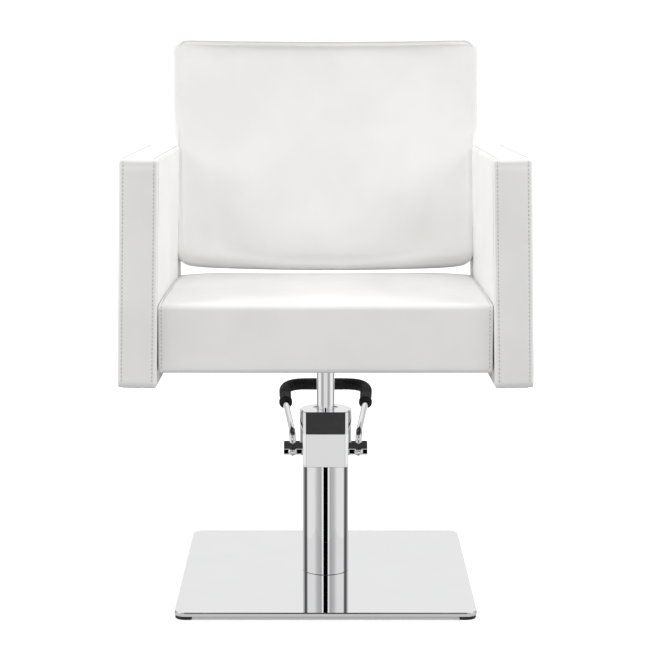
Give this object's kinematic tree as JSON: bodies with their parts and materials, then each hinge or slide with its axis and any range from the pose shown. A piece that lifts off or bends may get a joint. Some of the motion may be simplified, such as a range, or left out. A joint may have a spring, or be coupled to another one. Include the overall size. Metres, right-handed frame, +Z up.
{
  "type": "styling chair",
  "caption": "Padded box-arm salon chair that swivels and lifts on a chrome hydraulic column with a foot pedal and a square polished base.",
  "frame": {"origin": "on the floor, on the pump's vertical axis, at the middle of the square base", "axes": "+Z up, +X to the viewer's right when facing the chair's front, -Y towards the front of the chair"},
  "size_m": [0.6358, 0.5386, 0.8997],
  "materials": {
    "leatherette": "satin",
    "foam": "matte",
    "plywood": "satin",
    "dust_cloth": "matte",
    "chrome": "polished",
    "polished_steel": "polished",
    "machined_steel": "satin",
    "black_steel": "satin",
    "brass": "satin",
    "black_rubber": "matte",
    "seal": "matte"
  },
  "bodies": {
    "base": {"base_cover": "polished_steel", "base_plate": "black_steel", "foot_front_left": "black_rubber", "foot_front_right": "black_rubber", "foot_rear_left": "black_rubber", "foot_rear_right": "black_rubber", "base_bolt_1": "machined_steel", "base_bolt_2": "machined_steel", "base_bolt_3": "machined_steel", "base_bolt_4": "machined_steel", "pump_flange": "machined_steel", "column_sleeve": "chrome", "cylinder_tube": "machined_steel", "head_housing": "chrome", "shaft_bush_left": "brass", "shaft_bush_right": "brass", "rod_gland": "brass", "rod_wiper": "seal", "plunger_barrel": "brass", "plunger_spring": "machined_steel"},
    "plunger": {"pump_plunger": "machined_steel"},
    "pedal": {"rocker_shaft": "machined_steel", "rocker_arm": "machined_steel", "pedal_bar_left": "chrome", "pedal_bar_right": "chrome", "clamp_screw_left": "chrome", "clamp_screw_right": "chrome", "pedal_loop": "chrome", "pedal_grip": "black_rubber"},
    "piston": {"piston_head": "machined_steel", "piston_seal": "seal"},
    "chair": {"piston_rod": "chrome", "mounting_hub": "chrome", "mounting_plate": "black_steel", "mounting_bolt_1": "machined_steel", "mounting_bolt_2": "machined_steel", "mounting_bolt_3": "machined_steel", "mounting_bolt_4": "machined_steel", "seat_cover": "leatherette", "seat_foam": "foam", "seat_board": "plywood", "seat_dust_cover": "dust_cloth", "arm_cover_left": "leatherette", "arm_foam_left": "foam", "arm_board_left": "plywood", "arm_bracket_left": "black_steel", "back_hanger_left": "black_steel", "arm_cover_right": "leatherette", "arm_foam_right": "foam", "arm_board_right": "plywood", "arm_bracket_right": "black_steel", "back_hanger_right": "black_steel", "arm_bolt_left_front": "machined_steel", "arm_bolt_left_rear": "machined_steel", "arm_bolt_right_front": "machined_steel", "arm_bolt_right_rear": "machined_steel", "back_cover": "leatherette", "back_foam": "foam", "back_board": "plywood", "back_panel": "leatherette"}
  },
  "joints": [
    {"name": "lift", "type": "slide", "parent": "base", "child": "piston", "axis": [0, 0, 1], "range_m": [-0.03, 0.12]},
    {"name": "swivel", "type": "hinge", "parent": "piston", "child": "chair", "pos_m": [0, 0, 0.33], "axis": [0, 0, 1], "continuous": true},
    {"name": "pedal", "type": "hinge", "parent": "base", "child": "pedal", "pos_m": [0, -0.03, 0.23], "axis": [1, 0, 0], "range_deg": [-28, 8], "stiffness_Nm_per_rad": 6, "springref_deg": 8.02},
    {"name": "plunger_stroke", "type": "slide", "parent": "base", "child": "plunger", "axis": [0, 0, 1], "range_m": [-0.0095, 0.003], "deforming": ["plunger_spring"]}
  ],
  "couplings": [
    {"joint": "plunger_stroke", "follows": "pedal", "m_per_rad": 0.018}
  ]
}
